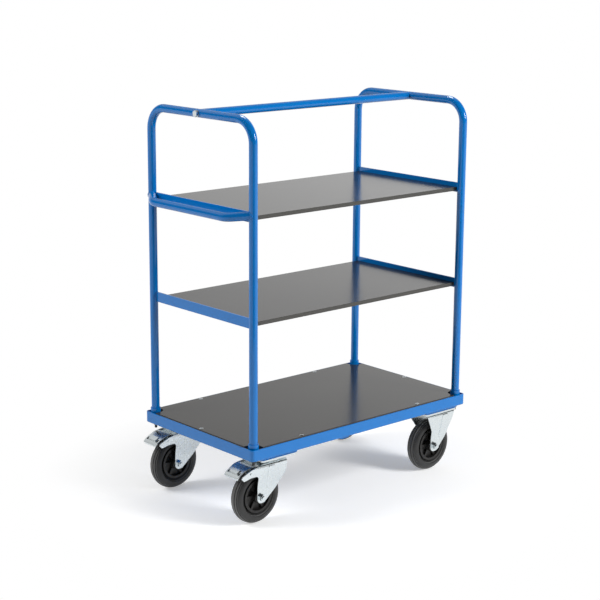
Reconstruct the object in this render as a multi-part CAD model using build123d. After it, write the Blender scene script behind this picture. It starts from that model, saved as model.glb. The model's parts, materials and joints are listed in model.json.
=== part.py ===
from build123d import *
import os
from math import cos, radians, sin

# Shelf trolley, in millimetres. +Z is up, +X points away from the push handle, +Y to the rear.
# The origin is on the floor, under the middle of the trolley's overall box.

# Gables, tie bar and push handle
GABLE_SPAN = 845.0  # between the upright axes of the two gables, along X
GABLE_WIDTH = 470.0  # between the two upright axes of one gable, along Y
OVERALL_HEIGHT = 1195.0
TUBE_D = 25.0
TUBE_WALL = 2.0
GABLE_BEND_R = 65.0
FOOT_PLUG = 28.0  # length of the threaded plug in each gable foot
TIE_PLUG = 20.0  # length of the threaded plug in each end of the tie bar
HANDLE_HEIGHT = 911.0
HANDLE_LIFT = 9.0  # rise of the handle's ends towards the uprights
HANDLE_REACH = 46.0  # handle axis outside the gable's plane
HANDLE_SPLAY = 64.0  # length along Y over which each handle end runs back to its upright
HANDLE_BEND_R = 60.0

# Shelves and their supports
UPPER_SHELF_HEIGHT = 915.0
MIDDLE_SHELF_HEIGHT = 610.0
SHELF_T = 12.0
SHELF_INSET = 15.0  # shelf edge behind the upright axes
SHELF_END_GAP = 0.5
ANGLE_T = 4.0
ANGLE_HEIGHT = 30.0
ANGLE_LEG = 45.0
ANGLE_SETBACK = 20.0  # ends of the angle's leg behind the ends of its flange
SHELF_SCREW_SPACING = 320.0
SHELF_SCREW_D = 4.5
SHELF_SCREW_BITE = 9.0
SHELF_SCREW_HEAD_D = 9.0
SHELF_SCREW_HEAD_H = 2.5

# Base frame and deck
FRAME_OVERHANG = 22.5  # upright axis to the outer face of the rails
RAIL_HEIGHT = 35.0
RAIL_SHEET = 3.0
RAIL_LEDGE = 40.0  # width of the rail's ledge and bottom flange
RAIL_BEND_R = 4.0
RAIL_EDGE_R = 1.0
FRAME_CORNER_R = 10.0
DECK_T = 12.0
DECK_PROUD = 2.0  # deck's top above the rails
DECK_GAP = 3.0
DECK_SCREW_EDGE = 17.0
DECK_SCREW_INSET = 180.0  # from a gable's plane
DECK_SCREW_D = 5.0
DECK_SCREW_BITE = 4.0  # past the ledge
DECK_SCREW_HEAD_D = 11.0
DECK_SCREW_HEAD_H = 3.0
SOCKET_D = 31.0
SOCKET_FLOOR = 4.0
SOCKET_STAND = 12.0  # height above the rails
SOCKET_DECK_GAP = 7.0
MOUNT_T = 6.0
MOUNT_WIDTH = 136.0
MOUNT_SETBACK = 8.0  # ends of the bars under the rails behind the rails' outer faces
STRAP_WIDTH = 34.0
STRAP_INSET = 346.0  # middle of the cross strap from the handle gable's plane

# Bolts, of one size but for the tie bar's
BOLT_D = 8.0
BOLT_HEAD = 5.3
BOLT_FLATS = 13.0
WASHER_D = 16.0
WASHER_T = 1.6
NUT_T = 6.5
STUD_DROP = 18.0  # gable bolt's end below the rails
STUD_BITE = 21.0  # gable bolt's end inside the foot plug
TIE_BOLT_D = 10.0
TIE_BOLT_HEAD = 6.4
TIE_BOLT_FLATS = 17.0
TIE_BOLT_BITE = 12.0
TIE_WASHER_D = 20.0

# Wheels
WHEEL_D = 168.0
TYRE_WIDTH = 40.0
TYRE_CROWN = 24.0  # drop of the tread from its middle to its shoulder
RIM_D = 112.0
RIM_WIDTH = 34.0
RIM_RING = 13.0  # radial width of the rim's outer ring
RIM_WEB = 8.0
HUB_D = 40.0
HUB_LENGTH = 54.0
SPOKES = 6
SPOKE_WIDTH = 9.0
SPOKE_DEPTH = 22.0
BEARING_D = 28.0
BEARING_LENGTH = 48.0
SLEEVE_D = 20.0
AXLE_D = 12.0
AXLE_FLATS = 19.0
AXLE_HEAD = 7.5
AXLE_NUT = 10.0
AXLE_TAIL = 3.0

# Casters
WHEEL_INSET = 38.0  # wheel's middle plane behind the upright axes
SWIVEL_INSET = 87.0  # king pin from the handle gable's plane
FIXED_INSET = 78.0  # middle of the fixed caster's plate from the far gable's plane
TRAIL = 50.0  # axle behind the king pin
FIXED_OFFSET = 4.0  # middle of the fixed plate ahead of the axle
PLATE_L = 135.0
PLATE_W = 110.0
PLATE_T = 5.0
PLATE_CORNER_R = 8.0
PLATE_HOLES_L = 105.0
PLATE_HOLES_W = 80.0
RACE_GAP = 10.0
BALL_RING_D = 56.0
BALLS = 12
KING_PIN_D = 16.0
KING_HEAD_D = 28.0
KING_HEAD_T = 6.0
DUST_RING_D = 74.0
DUST_RING_T = 2.0
DUST_RING_LIFT = 1.5  # dust ring's clearance below the plate

# Pressed fork and bracket, measured from the axle
FORK_RISE = 105.0
FORK_SHEET = 3.5
FORK_FLARE_START = 30.0
FORK_TOP_W = 86.0
FORK_BEND_R = 9.0
FORK_KNEE_R = 150.0
FORK_CORNER_R = 12.0
FORK_SWEEP_R = 40.0
EYE_R = 18.0
EYE_FRONT = 10.0  # front end of the flat under the eye
LEG_BACK = 15.0
WAIST_FRONT = 55.0
WAIST_HEIGHT = 20.0
CROWN_BACK = 5.0  # rear end of the crown, ahead of the axle
CROWN_FRONT = 89.0
CHIN_HEIGHT = 62.0
ARCH_HEIGHT = 70.0
ARM_KNEE_BACK = 45.0
ARM_KNEE_HEIGHT = 96.0
ARM_TIP_BACK = 83.0
ARM_TIP_RUN = 13.0
ARM_TIP_LOW = 64.0
ARM_TIP_HIGH = 78.0
ARM_TIP_R = 6.0
BRACKET_TOP_W = 100.0
BRACKET_BACK = 58.0
BRACKET_FRONT = 71.0
BRACKET_LEG_BACK = 17.0
BRACKET_BEND_HEIGHT = 50.0
BRACKET_WAIST_FRONT = 50.0
BRACKET_WAIST_HEIGHT = 26.0
BRACKET_SHOULDER = 30.0  # height of the bracket's steep front edge below its top
BRACKET_LEAN = 3.0
RIB_RISE = 1.5
RIB_WIDTH = 23.0
RIB_CORNER_R = 6.0
RIB_FROM = 19.0  # rib's near edge ahead of the axle
RIB_BOTTOM = 16.0

# Brake
PIVOT_BACK = 47.0  # pedal pin behind the axle
PIVOT_HEIGHT = 83.0  # pedal pin above the axle
PIN_D = 6.0
PIN_STAND = 2.0  # pedal pin's ends outside the fork
PEDAL_TILT = 26.0
PEDAL_HEEL = 22.0
PEDAL_TOE = 43.0
PEDAL_W = 62.0
PEDAL_SHEET = 3.0
PEDAL_STAND = 10.0  # pedal's lower face above the pin
PEDAL_LIP = 7.0
PEDAL_SLOT_L = 10.0
PEDAL_SLOT_W = 8.0
PEDAL_SLOT_EDGE = 4.0  # slot from the pedal's side
CHEEK_SHEET = 2.5
CHEEK_HALF = 9.0
PAD_L = 20.0
PAD_W = 36.0
PAD_EDGE = 12.0  # pad from the toe
PAD_RISE = 3.0
SHOE_L = 24.0
SHOE_W = 34.0
SHOE_GAP = 7.0

# Clearances
RUN_CLEAR = 0.05  # radial, pieces that turn on or slip into each other
SIDE_CLEAR = 0.3  # beside pieces that turn
HOLE_CLEAR = 0.3  # radial, bolts in plain holes

# Places that follow from the sizes above
WHEEL_R = WHEEL_D / 2
FORK_TOP = WHEEL_R + FORK_RISE
PLATE_BOTTOM = FORK_TOP + RACE_GAP
CASTER_HEIGHT = PLATE_BOTTOM + PLATE_T
RAIL_BOTTOM = CASTER_HEIGHT + MOUNT_T
RAIL_TOP = RAIL_BOTTOM + RAIL_HEIGHT
DECK_TOP = RAIL_TOP + DECK_PROUD
LEDGE_TOP = DECK_TOP - DECK_T
SOCKET_BOTTOM = RAIL_BOTTOM + RAIL_SHEET
GABLE_FOOT = SOCKET_BOTTOM + SOCKET_FLOOR
TOP_AXIS = OVERALL_HEIGHT - TUBE_D / 2
FRAME_L = GABLE_SPAN + 2 * FRAME_OVERHANG
FRAME_W = GABLE_WIDTH + 2 * FRAME_OVERHANG
DECK_X = (HANDLE_REACH + TUBE_D / 2 - FRAME_OVERHANG) / 2
HANDLE_END = DECK_X - GABLE_SPAN / 2
FAR_END = DECK_X + GABLE_SPAN / 2
SIDE = GABLE_WIDTH / 2
UPRIGHTS = [(x, y) for x in (HANDLE_END, FAR_END) for y in (-SIDE, SIDE)]
WHEEL_Y = SIDE - WHEEL_INSET
KING_X = HANDLE_END + SWIVEL_INSET
FIXED_X = FAR_END - FIXED_INSET
FORK_INNER = HUB_LENGTH / 2
FORK_OUTER = FORK_INNER + FORK_SHEET
UP = (0, 0, 1)
DOWN = (0, 0, -1)
AHEAD = (1, 0, 0)
BACK = (-1, 0, 0)
REARWARD = (0, 1, 0)
FORWARD = (0, -1, 0)


def save(name, *solids):
    """Write one node: a single solid, or a group of separate ones."""
    shape = solids[0] if len(solids) == 1 else Compound(list(solids))
    export_step(shape, f"parts/{name}.step")


def rod(start, direction, diameter, length):
    return Solid.make_cylinder(diameter / 2, length, Plane(origin=start, z_dir=direction))


def ring(start, direction, outer_d, inner_d, length):
    return rod(start, direction, outer_d, length) - rod(start, direction, inner_d, length)


def hexagon(start, direction, flats, length):
    outline = Plane(origin=start, z_dir=direction) * RegularPolygon(flats / 2, 6, major_radius=False)
    return extrude(outline, amount=length)


def beyond(point, direction, distance):
    """The point that lies a distance along a direction."""
    return tuple(p + d * distance for p, d in zip(point, direction))


def hex_bolt(seat, direction, shank, bolt_d, flats, head, washer_d):
    """Bolt and washer. The shank runs from the seat along the direction."""
    washer_back = beyond(seat, direction, -WASHER_T)
    bolt = hexagon(beyond(washer_back, direction, -head), direction, flats, head)
    bolt += rod(washer_back, direction, bolt_d, WASHER_T + shank)
    washer = ring(washer_back, direction, washer_d, bolt_d + 2 * HOLE_CLEAR, WASHER_T)
    return bolt, washer


def block(x_range, y_range, z_range):
    size = [high - low for low, high in (x_range, y_range, z_range)]
    middle = [(high + low) / 2 for low, high in (x_range, y_range, z_range)]
    return Pos(*middle) * Box(*size)


def tube_along(path):
    plane = Plane(origin=path @ 0, z_dir=path % 0)
    return sweep(plane * (Circle(TUBE_D / 2) - Circle(TUBE_D / 2 - TUBE_WALL)), path=path)


def filled(points, radii, plane):
    """Face with rounded corners, drawn on a plane."""
    return plane * make_face(FilletPolyline(*points, radius=radii, close=True))


# Base frame


def frame_prism(length, width, radius, bottom, top):
    """Upright prism over the frame's middle, rounded at its corners."""
    return extrude(Pos(DECK_X, 0, bottom) * RectangleRounded(length, width, radius), amount=top - bottom)


def whole_frame():
    """The four rails in one piece: outer wall, ledge for the deck and bottom flange."""
    flange_top = RAIL_BOTTOM + RAIL_SHEET
    ledge_bottom = LEDGE_TOP - RAIL_SHEET
    frame = frame_prism(FRAME_L, FRAME_W, FRAME_CORNER_R, RAIL_BOTTOM, RAIL_TOP)
    frame = fillet(frame.faces().sort_by(Axis.Z)[0].edges(), RAIL_BEND_R)
    frame = fillet(frame.faces().sort_by(Axis.Z)[-1].edges(), RAIL_EDGE_R)
    inner_r = FRAME_CORNER_R - RAIL_SHEET
    inner_l, inner_w = FRAME_L - 2 * RAIL_SHEET, FRAME_W - 2 * RAIL_SHEET
    frame -= frame_prism(inner_l, inner_w, inner_r, LEDGE_TOP, 2 * RAIL_TOP)
    frame -= frame_prism(inner_l, inner_w, inner_r, flange_top, ledge_bottom)
    frame -= frame_prism(FRAME_L - 2 * RAIL_LEDGE, FRAME_W - 2 * RAIL_LEDGE, inner_r, 0, 2 * RAIL_TOP)
    for x, y in UPRIGHTS:
        frame -= rod((x, y, RAIL_BOTTOM), UP, BOLT_D + 2 * HOLE_CLEAR, RAIL_SHEET)
        frame -= rod((x, y, ledge_bottom), UP, SOCKET_D + 2 * HOLE_CLEAR, RAIL_SHEET)
    for x, y in deck_screw_places():
        frame -= rod((x, y, ledge_bottom), UP, DECK_SCREW_D + 2 * HOLE_CLEAR, RAIL_SHEET)
    for x, y in caster_bolt_places():
        frame -= rod((x, y, RAIL_BOTTOM), UP, BOLT_D + 2 * HOLE_CLEAR, RAIL_SHEET)
    return frame


def mitre_point(corner, offset):
    """Point on the mitre of a frame corner (signs of x and y), an offset outside the rails."""
    return DECK_X + corner[0] * (FRAME_L / 2 + offset), corner[1] * (FRAME_W / 2 + offset)


def rail(frame, first, second):
    """The part of the frame between the mitres of two corners."""
    outside, inside = FRAME_CORNER_R, -RAIL_LEDGE - FRAME_CORNER_R
    plan = Polyline(
        mitre_point(first, outside), mitre_point(second, outside),
        mitre_point(second, inside), mitre_point(first, inside),
        close=True,
    )
    return frame & extrude(make_face(plan), amount=2 * RAIL_TOP, both=True)


def deck_screw_places():
    edge_y = FRAME_W / 2 - DECK_SCREW_EDGE
    edge_x = FRAME_L / 2 - DECK_SCREW_EDGE
    along_x = GABLE_SPAN / 2 - DECK_SCREW_INSET
    sides = [(DECK_X + sx * along_x, sy * edge_y) for sx in (-1, 1) for sy in (-1, 1)]
    return sides + [(DECK_X - edge_x, 0), (DECK_X + edge_x, 0)]


def caster_bolt_places():
    """Bolts of all four casters, seen from above."""
    places = []
    for plate_x in (KING_X, FIXED_X):
        for plate_y in (-WHEEL_Y, WHEEL_Y):
            for sx in (-1, 1):
                for sy in (-1, 1):
                    places.append((plate_x + sx * PLATE_HOLES_L / 2, plate_y + sy * PLATE_HOLES_W / 2))
    return places


def rails():
    frame = whole_frame()
    near_left, near_right, far_left, far_right = (-1, -1), (1, -1), (-1, 1), (1, 1)
    return {
        "front_rail": rail(frame, near_left, near_right),
        "rear_rail": rail(frame, far_right, far_left),
        "handle_end_rail": rail(frame, far_left, near_left),
        "far_end_rail": rail(frame, near_right, far_right),
    }


def cross_bar(centre_x, width):
    """Flat bar under the rails, from the front rail to the rear one."""
    outline = Pos(centre_x, 0) * Rectangle(width, FRAME_W - 2 * MOUNT_SETBACK)
    for x, y in caster_bolt_places():
        outline -= Pos(x, y) * Circle(BOLT_D / 2 + HOLE_CLEAR)
    return extrude(Pos(0, 0, CASTER_HEIGHT) * outline, amount=MOUNT_T)


def deck_board():
    margin = 2 * (RAIL_SHEET + DECK_GAP)
    outline = Pos(DECK_X, 0) * Rectangle(FRAME_L - margin, FRAME_W - margin)
    reach = SOCKET_D / 2 + SOCKET_DECK_GAP
    notch = RectangleRounded(2 * (reach + FRAME_OVERHANG), 2 * (reach + FRAME_OVERHANG), reach)
    for x, y in UPRIGHTS:
        outward_x = FRAME_OVERHANG if x > DECK_X else -FRAME_OVERHANG
        outward_y = FRAME_OVERHANG if y > 0 else -FRAME_OVERHANG
        outline -= Pos(x + outward_x, y + outward_y) * notch
    board = extrude(Pos(0, 0, LEDGE_TOP) * outline, amount=DECK_T)
    for screw in deck_screws():
        board -= screw
    return board


def deck_screws():
    """Screws with flush countersunk heads."""
    screws = []
    shank = DECK_T + RAIL_SHEET + DECK_SCREW_BITE
    for x, y in deck_screw_places():
        seat = Plane(origin=(x, y, DECK_TOP), z_dir=DOWN)
        head = Solid.make_cone(DECK_SCREW_HEAD_D / 2, DECK_SCREW_D / 2, DECK_SCREW_HEAD_H, seat)
        screws.append(head + rod(seat.origin, DOWN, DECK_SCREW_D, shank))
    return screws


def corner_sockets():
    sockets = []
    height = RAIL_TOP + SOCKET_STAND - SOCKET_BOTTOM
    for x, y in UPRIGHTS:
        socket = rod((x, y, SOCKET_BOTTOM), UP, SOCKET_D, height)
        socket -= rod((x, y, GABLE_FOOT), UP, TUBE_D + 2 * RUN_CLEAR, height)
        sockets.append(socket - rod((x, y, SOCKET_BOTTOM), UP, BOLT_D + 2 * HOLE_CLEAR, SOCKET_FLOOR))
    return sockets


def gable_bolts():
    """Studs that hold the gable feet down, each with a washer and a nut below the rail."""
    pieces = []
    for x, y in UPRIGHTS:
        stud_end = (x, y, RAIL_BOTTOM - STUD_DROP)
        washer_bottom = (x, y, RAIL_BOTTOM - WASHER_T)
        nut_bottom = beyond(washer_bottom, DOWN, NUT_T)
        stud_length = GABLE_FOOT + STUD_BITE - stud_end[2]
        pieces.append(rod(stud_end, UP, BOLT_D, stud_length))
        pieces.append(ring(washer_bottom, UP, WASHER_D, BOLT_D + 2 * HOLE_CLEAR, WASHER_T))
        nut = hexagon(nut_bottom, UP, BOLT_FLATS, NUT_T)
        pieces.append(nut - rod(nut_bottom, UP, BOLT_D, NUT_T))
    return pieces


# Gables, tie bar and handle


def gable(x):
    """One bent tube with a threaded plug in each foot and a bolt hole through the middle of its top."""
    path = FilletPolyline(
        (x, -SIDE, GABLE_FOOT), (x, -SIDE, TOP_AXIS), (x, SIDE, TOP_AXIS), (x, SIDE, GABLE_FOOT),
        radius=GABLE_BEND_R,
    )
    frame = tube_along(path)
    for y in (-SIDE, SIDE):
        foot = (x, y, GABLE_FOOT)
        frame += rod(foot, UP, TUBE_D - TUBE_WALL, FOOT_PLUG)
        frame -= rod(foot, UP, BOLT_D, FOOT_PLUG)
    return frame - rod((x - TUBE_D, 0, TOP_AXIS), AHEAD, TIE_BOLT_D + 2 * HOLE_CLEAR, 2 * TUBE_D)


def tie_bar():
    """Tube between the gable tops, coped to them, with a threaded plug in each end."""
    start = (HANDLE_END, 0, TOP_AXIS)
    bar = ring(start, AHEAD, TUBE_D, TUBE_D - 2 * TUBE_WALL, GABLE_SPAN)
    plug = TUBE_D / 2 + TIE_PLUG
    for end, inward in ((start, AHEAD), ((FAR_END, 0, TOP_AXIS), BACK)):
        bar += rod(end, inward, TUBE_D - TUBE_WALL, plug)
        bar -= rod(end, inward, TIE_BOLT_D, plug)
        bar -= rod(beyond(end, FORWARD, TUBE_D), REARWARD, TUBE_D, 2 * TUBE_D)
    return bar


def tie_bar_bolts():
    shank = TUBE_D + TIE_BOLT_BITE
    pieces = []
    for x, inward in ((HANDLE_END, AHEAD), (FAR_END, BACK)):
        seat = beyond((x, 0, TOP_AXIS), inward, -TUBE_D / 2)
        pieces += hex_bolt(seat, inward, shank, TIE_BOLT_D, TIE_BOLT_FLATS, TIE_BOLT_HEAD, TIE_WASHER_D)
    return pieces


def push_handle():
    """Bent tube, its ends coped to the uprights and cut flush with the shelf support's face."""
    outside = HANDLE_END - HANDLE_REACH
    end_height = HANDLE_HEIGHT + HANDLE_LIFT
    path = FilletPolyline(
        (HANDLE_END, -SIDE, end_height),
        (outside, -SIDE + HANDLE_SPLAY, HANDLE_HEIGHT),
        (outside, SIDE - HANDLE_SPLAY, HANDLE_HEIGHT),
        (HANDLE_END, SIDE, end_height),
        radius=HANDLE_BEND_R,
    )
    handle = tube_along(path)
    for y in (-SIDE, SIDE):
        handle -= rod((HANDLE_END, y, end_height - 2 * TUBE_D), UP, TUBE_D, 4 * TUBE_D)
    inside = Pos(HANDLE_END + TUBE_D, 0, end_height) * Box(2 * TUBE_D, 2 * GABLE_WIDTH, 4 * TUBE_D)
    return handle - inside


# Shelves


def shelf_screw_places(end_x, inward):
    x = end_x + inward * (ANGLE_T + ANGLE_LEG) / 2
    return [(x, -SHELF_SCREW_SPACING / 2), (x, SHELF_SCREW_SPACING / 2)]


def shelf_support(end_x, inward, shelf_top):
    """Steel angle between two uprights: a flange outside the shelf and a shorter leg under it."""
    base = shelf_top - SHELF_T - ANGLE_T
    half = (GABLE_WIDTH - TUBE_D) / 2
    leg_half = half - ANGLE_SETBACK
    flange = block(sorted((end_x, end_x + inward * ANGLE_T)), (-half, half), (base, base + ANGLE_HEIGHT))
    leg = block(sorted((end_x, end_x + inward * ANGLE_LEG)), (-leg_half, leg_half), (base, base + ANGLE_T))
    support = flange + leg
    for x, y in shelf_screw_places(end_x, inward):
        support -= rod((x, y, base), UP, SHELF_SCREW_D + 2 * HOLE_CLEAR, ANGLE_T)
    return support


def shelf(top):
    length = GABLE_SPAN - 2 * (ANGLE_T + SHELF_END_GAP)
    bottom = top - SHELF_T
    board = Pos(DECK_X, 0, bottom + SHELF_T / 2) * Box(length, GABLE_WIDTH - 2 * SHELF_INSET, SHELF_T)
    for end_x, inward in ((HANDLE_END, 1), (FAR_END, -1)):
        for x, y in shelf_screw_places(end_x, inward):
            board -= rod((x, y, bottom), UP, SHELF_SCREW_D, SHELF_SCREW_BITE)
    return board


def shelf_screws():
    screws = []
    for top in (MIDDLE_SHELF_HEIGHT, UPPER_SHELF_HEIGHT):
        base = top - SHELF_T - ANGLE_T
        for end_x, inward in ((HANDLE_END, 1), (FAR_END, -1)):
            for x, y in shelf_screw_places(end_x, inward):
                head = rod((x, y, base), DOWN, SHELF_SCREW_HEAD_D, SHELF_SCREW_HEAD_H)
                screws.append(head + rod((x, y, base), UP, SHELF_SCREW_D, ANGLE_T + SHELF_SCREW_BITE))
    return screws


# Wheels. Each is modelled with its axle along Y through the origin.


def tyre():
    """Tyre of round section on the rim's seat."""
    half, seat_half = TYRE_WIDTH / 2, RIM_WIDTH / 2
    shoulder, seat = WHEEL_R - TYRE_CROWN, RIM_D / 2
    tread = ThreePointArc((shoulder, -half), (WHEEL_R, 0), (shoulder, half))
    walls = Polyline((shoulder, half), (seat, seat_half), (seat, -seat_half), (shoulder, -half))
    return revolve(make_face([tread, walls]), axis=Axis.Y)


def rim():
    """Moulded rim: hub, web, outer ring and spokes on both sides of the web."""
    bore, hub, edge = BEARING_D / 2, HUB_D / 2, RIM_D / 2
    inner = edge - RIM_RING
    hub_half = HUB_LENGTH / 2 - SIDE_CLEAR
    half, web = RIM_WIDTH / 2, RIM_WEB / 2
    upper = [(bore, hub_half), (hub, hub_half), (hub, web), (inner, web), (inner, half), (edge, half)]
    lower = [(r, -y) for r, y in reversed(upper)]
    solid = revolve(make_face(Polyline(*upper, *lower, close=True)), axis=Axis.Y)
    spoke_from, spoke_to = (bore + hub) / 2, (inner + edge) / 2
    spoke = Pos((spoke_from + spoke_to) / 2, 0, 0) * Box(spoke_to - spoke_from, SPOKE_DEPTH, SPOKE_WIDTH)
    spokes = [Rot(0, 360 / SPOKES * i, 0) * spoke for i in range(SPOKES)]
    return solid.fuse(*spokes)


def bearing():
    start = (0, -BEARING_LENGTH / 2, 0)
    return ring(start, REARWARD, BEARING_D, SLEEVE_D + 2 * RUN_CLEAR, BEARING_LENGTH)


def axle():
    """Axle bolt with its head to the rear, the sleeve between the fork legs, and the nut."""
    rear_face, front_face = (0, FORK_OUTER, 0), (0, -FORK_OUTER, 0)
    bolt = hexagon(rear_face, REARWARD, AXLE_FLATS, AXLE_HEAD)
    bolt += rod(rear_face, FORWARD, AXLE_D, 2 * FORK_OUTER + AXLE_NUT + AXLE_TAIL)
    sleeve = ring((0, -FORK_INNER, 0), REARWARD, SLEEVE_D, AXLE_D + 2 * RUN_CLEAR, HUB_LENGTH)
    nut = hexagon(front_face, FORWARD, AXLE_FLATS, AXLE_NUT)
    nut -= rod(front_face, FORWARD, AXLE_D, AXLE_NUT)
    return bolt, sleeve, nut


# Casters. Each is modelled with its axle along Y through the origin.


def channel(rise, top_w, swell):
    """Pressed channel along X: two legs that flare towards the crown. Swell thickens it outwards."""
    low, top, bottom = FORK_OUTER, top_w / 2, -2 * EYE_R
    under = rise - FORK_SHEET
    inner_top = low + (top - low) * (under - FORK_FLARE_START) / (rise - FORK_FLARE_START) - FORK_SHEET
    outer_half = [(low + swell, bottom), (low + swell, FORK_FLARE_START), (top + swell, rise)]
    inner_half = [(FORK_INNER, bottom), (FORK_INNER, FORK_FLARE_START), (inner_top, under)]
    plane = Plane(origin=(-2 * CROWN_FRONT, 0, 0), x_dir=REARWARD, z_dir=AHEAD)
    section = mirrored_face(outer_half, [0, FORK_KNEE_R, FORK_BEND_R], plane)
    section -= mirrored_face(inner_half, [0, FORK_KNEE_R, FORK_BEND_R - FORK_SHEET], plane)
    return extrude(section, amount=4 * CROWN_FRONT)


def mirrored_face(half, radii, plane):
    """Face from the right half of its outline, mirrored about the plane's Y axis."""
    points = half + [(-x, y) for x, y in reversed(half)]
    return filled(points, radii + radii[::-1], plane)


def slab(corners):
    """Side outline of corners (x, z, radius), thicker than a fork is wide."""
    points = [(x, z) for x, z, radius in corners]
    radii = [radius for x, z, radius in corners]
    return extrude(filled(points, radii, Plane.XZ), amount=BRACKET_TOP_W, both=True)


def pressed_legs(corners, rise, top_w):
    """Channel cut to a side outline, with a raised rib and an axle hole in both legs."""
    outline = slab(corners)
    legs = channel(rise, top_w, 0) & outline
    near, far, top = RIB_FROM, RIB_FROM + RIB_WIDTH, rise - FORK_BEND_R
    rib = [
        (near, RIB_BOTTOM, RIB_CORNER_R),
        (far, RIB_BOTTOM + RIB_WIDTH, RIB_CORNER_R),
        (far, top, RIB_CORNER_R),
        (near, top, RIB_CORNER_R),
    ]
    legs += channel(rise, top_w, RIB_RISE) & slab(rib) & outline
    return legs - rod((0, -top_w, 0), REARWARD, AXLE_D + 2 * HOLE_CLEAR, 2 * top_w)


def swivel_fork():
    """Fork with an eye at the axle, a crown ahead of it and arms that carry the pedal behind it."""
    above = FORK_RISE + FORK_SHEET
    corners = [
        (CROWN_FRONT, above, 0),
        (CROWN_FRONT, CHIN_HEIGHT, FORK_CORNER_R),
        (WAIST_FRONT, WAIST_HEIGHT, FORK_SWEEP_R),
        (EYE_FRONT, -EYE_R, EYE_R),
        (-LEG_BACK, -EYE_R, LEG_BACK),
        (-LEG_BACK, ARCH_HEIGHT, FORK_CORNER_R),
        (-ARM_KNEE_BACK, ARCH_HEIGHT, FORK_SWEEP_R),
        (ARM_TIP_RUN - ARM_TIP_BACK, ARM_TIP_LOW, ARM_TIP_R),
        (-ARM_TIP_BACK, ARM_TIP_HIGH, ARM_TIP_R),
        (-ARM_KNEE_BACK, ARM_KNEE_HEIGHT, FORK_SWEEP_R),
        (CROWN_BACK, FORK_RISE, 0),
        (CROWN_BACK, above, 0),
    ]
    fork = pressed_legs(corners, FORK_RISE, FORK_TOP_W)
    fork -= rod((TRAIL, 0, 0), UP, KING_PIN_D + 2 * RUN_CLEAR, FORK_TOP)
    return fork - rod((-PIVOT_BACK, -FORK_TOP_W, PIVOT_HEIGHT), REARWARD, PIN_D, 2 * FORK_TOP_W)


def fixed_bracket():
    """Bracket like the fork, but with straight edges that widen up to the plate."""
    rise = FORK_RISE + RACE_GAP
    above = rise + FORK_SHEET
    corners = [
        (BRACKET_FRONT, above, 0),
        (BRACKET_FRONT - BRACKET_LEAN, rise - BRACKET_SHOULDER, FORK_SWEEP_R),
        (BRACKET_WAIST_FRONT, BRACKET_WAIST_HEIGHT, FORK_SWEEP_R),
        (EYE_FRONT, -EYE_R, EYE_R),
        (-BRACKET_LEG_BACK, -EYE_R, LEG_BACK),
        (-BRACKET_LEG_BACK, BRACKET_BEND_HEIGHT, FORK_SWEEP_R),
        (-BRACKET_BACK, above, 0),
    ]
    return pressed_legs(corners, rise, BRACKET_TOP_W)


def caster_plate(centre_x):
    """Top plate with four threaded bolt holes, its top at the caster's height above the axle."""
    outline = RectangleRounded(PLATE_L, PLATE_W, PLATE_CORNER_R)
    for sx in (-1, 1):
        for sy in (-1, 1):
            outline -= Pos(sx * PLATE_HOLES_L / 2, sy * PLATE_HOLES_W / 2) * Circle(BOLT_D / 2)
    return extrude(Pos(centre_x, 0, PLATE_BOTTOM - WHEEL_R) * outline, amount=PLATE_T)


def king_pin():
    """Pin riveted in the plate, with a head that carries the fork from below."""
    head_top = FORK_RISE - FORK_SHEET - SIDE_CLEAR
    pin = rod((TRAIL, 0, head_top), DOWN, KING_HEAD_D, KING_HEAD_T)
    return pin + rod((TRAIL, 0, head_top), UP, KING_PIN_D, CASTER_HEIGHT - WHEEL_R - head_top)


def ball_ring():
    """Balls that touch the plate's race and just clear the fork."""
    ball_r = RACE_GAP / 2 - RUN_CLEAR
    middle_z = FORK_RISE + RACE_GAP - ball_r
    balls = []
    for i in range(BALLS):
        turn = radians(360 / BALLS * i)
        x, y = cos(turn) * BALL_RING_D / 2, sin(turn) * BALL_RING_D / 2
        balls.append(Pos(TRAIL + x, y, middle_z) * Sphere(ball_r))
    return balls


def dust_ring():
    height = RACE_GAP - DUST_RING_LIFT
    return ring((TRAIL, 0, FORK_RISE), UP, DUST_RING_D, DUST_RING_D - 2 * DUST_RING_T, height)


# Brake


def pedal_frame():
    """Place of the pedal: origin on its pin, X towards the toe, Z square to the tread."""
    return Pos(-PIVOT_BACK, 0, PIVOT_HEIGHT) * Rot(0, 0, 180) * Rot(0, PEDAL_TILT, 0)


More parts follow.
